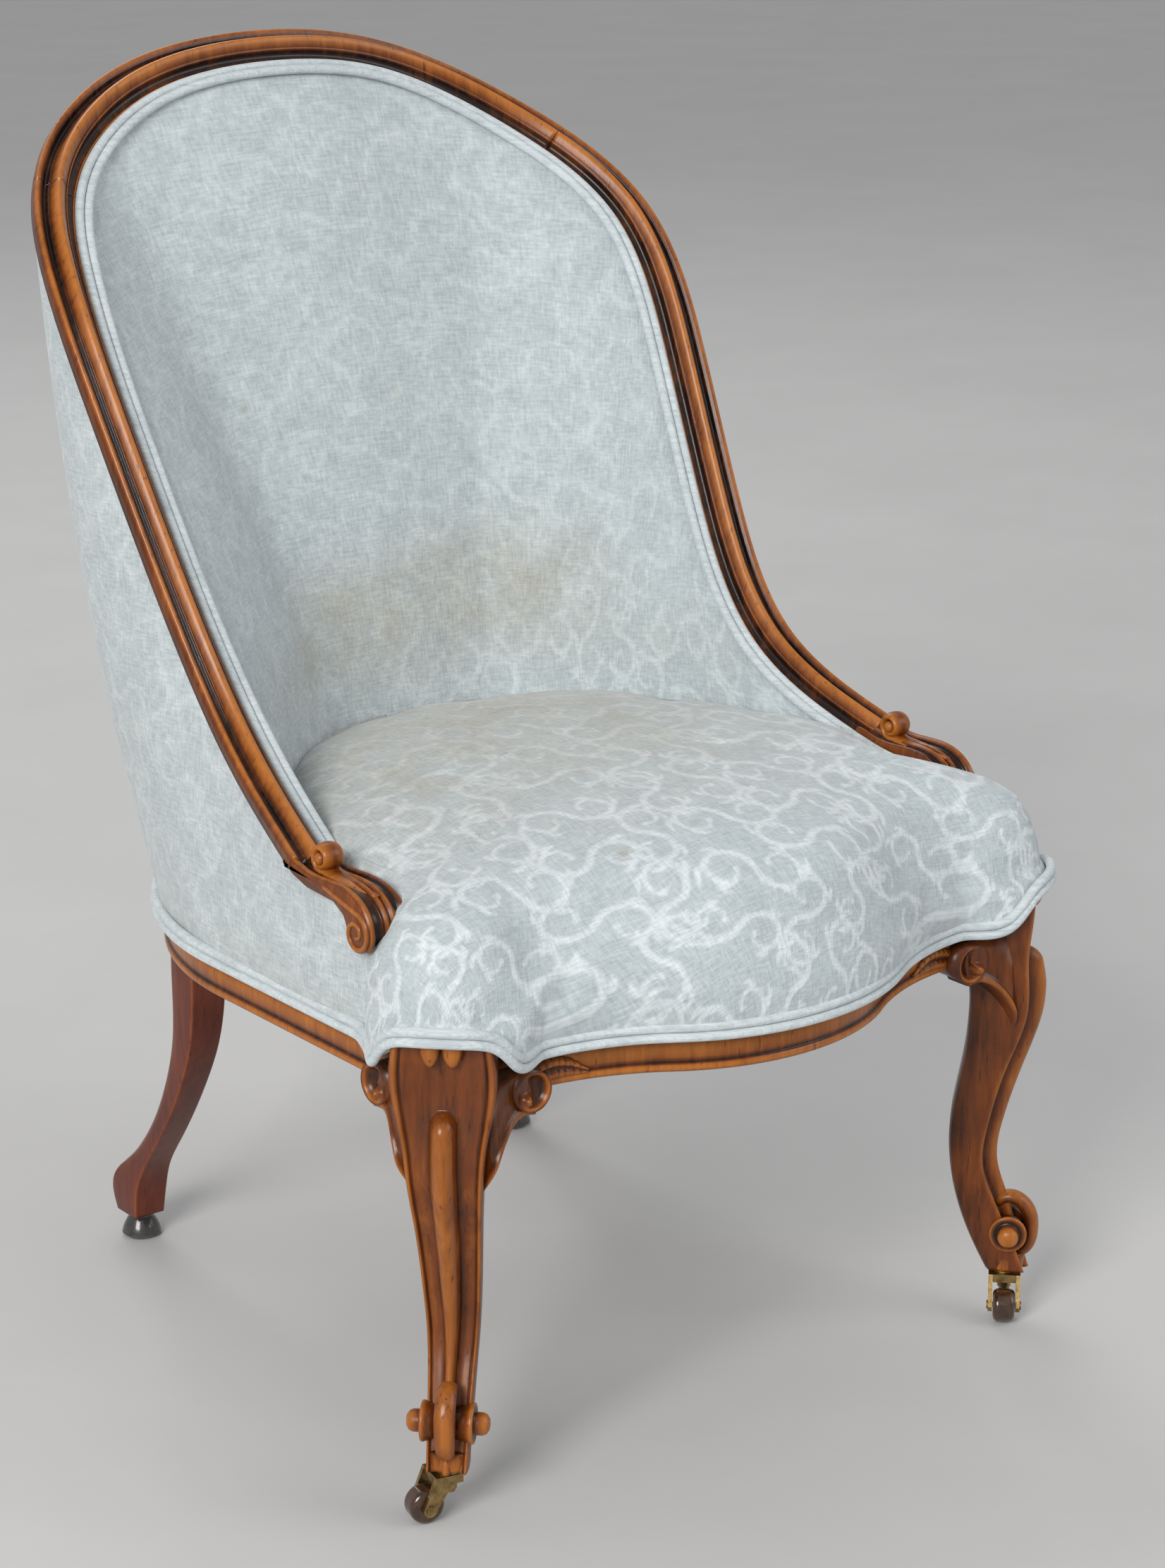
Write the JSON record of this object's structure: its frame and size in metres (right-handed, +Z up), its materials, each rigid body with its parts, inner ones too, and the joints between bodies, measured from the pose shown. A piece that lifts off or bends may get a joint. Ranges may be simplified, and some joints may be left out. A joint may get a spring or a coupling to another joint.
{
  "type": "spoon-back salon chair",
  "caption": "Upholstered spoon-back drawing-room chair with moulded show-wood hoop, scrolled arms, cabriole front legs on castors and sabre rear legs.",
  "frame": {"origin": "centre of the bounding box in plan, on the floor", "axes": "+Z up, the sitter faces -Y, +X to the sitter's left hand"},
  "size_m": [0.5746, 0.6526, 0.8952],
  "materials": {
    "walnut": "waxed, worn to ochre on the high edges",
    "stained_beech": "red-brown stain",
    "frame_wood": "bare",
    "damask": "woven damask with a sheen",
    "jute_cloth": "coarse jute",
    "steel_wire": "drawn wire",
    "aged_brass": "dull, tarnished",
    "glazed_ceramic": null,
    "dark_glide": "dark gloss"
  },
  "bodies": {
    "chair": {"back_piping": "damask", "back_rail": "walnut", "bottom_cloth": "jute_cloth", "crest_rail": "walnut", "front_hem_piping": "damask", "front_rail": "walnut", "hessian": "jute_cloth", "inside_back": "damask", "left_arm_post": "frame_wood", "left_back_upright": "frame_wood", "left_block_screw": "steel_wire", "left_castor_plate": "aged_brass", "left_corner_block": "frame_wood", "left_front_bracket": "walnut", "left_front_leg": "walnut", "left_leg_piping": "damask", "left_rear_glide": "dark_glide", "left_rear_leg": "stained_beech", "left_side_bracket": "walnut", "left_side_rail": "walnut", "left_stile": "walnut", "outside_back": "damask", "rear_hem_piping": "damask", "right_arm_post": "frame_wood", "right_back_upright": "frame_wood", "right_block_screw": "steel_wire", "right_castor_plate": "aged_brass", "right_corner_block": "frame_wood", "right_front_bracket": "walnut", "right_front_leg": "walnut", "right_leg_piping": "damask", "right_rear_glide": "dark_glide", "right_rear_leg": "stained_beech", "right_side_bracket": "walnut", "right_side_rail": "walnut", "right_stile": "walnut", "seat_cushion": "damask", "seat_spring_1": "steel_wire", "seat_spring_2": "steel_wire", "seat_spring_3": "steel_wire", "seat_spring_4": "steel_wire", "seat_spring_5": "steel_wire", "seat_webbing": "jute_cloth"},
    "right_horn": {"right_castor_horn": "aged_brass", "right_castor_axle": "aged_brass"},
    "left_horn": {"left_castor_horn": "aged_brass", "left_castor_axle": "aged_brass"},
    "right_wheel": {"right_castor_wheel": "glazed_ceramic"},
    "left_wheel": {"left_castor_wheel": "glazed_ceramic"}
  },
  "joints": [
    {"name": "right_castor_swivel", "type": "hinge", "parent": "chair", "child": "right_horn", "pos_m": [0.25, -0.25, 0.03], "axis": [0, 0, 1], "continuous": true},
    {"name": "left_castor_swivel", "type": "hinge", "parent": "chair", "child": "left_horn", "pos_m": [-0.25, -0.25, 0.03], "axis": [0, 0, 1], "continuous": true},
    {"name": "right_wheel_spin", "type": "hinge", "parent": "right_horn", "child": "right_wheel", "pos_m": [0.2375, -0.26295, 0.012], "axis": [0.7193, -0.6947, 0], "continuous": true},
    {"name": "left_wheel_spin", "type": "hinge", "parent": "left_horn", "child": "left_wheel", "pos_m": [-0.26761, -0.24626, 0.012], "axis": [-0.2079, -0.9781, 0], "continuous": true}
  ]
}
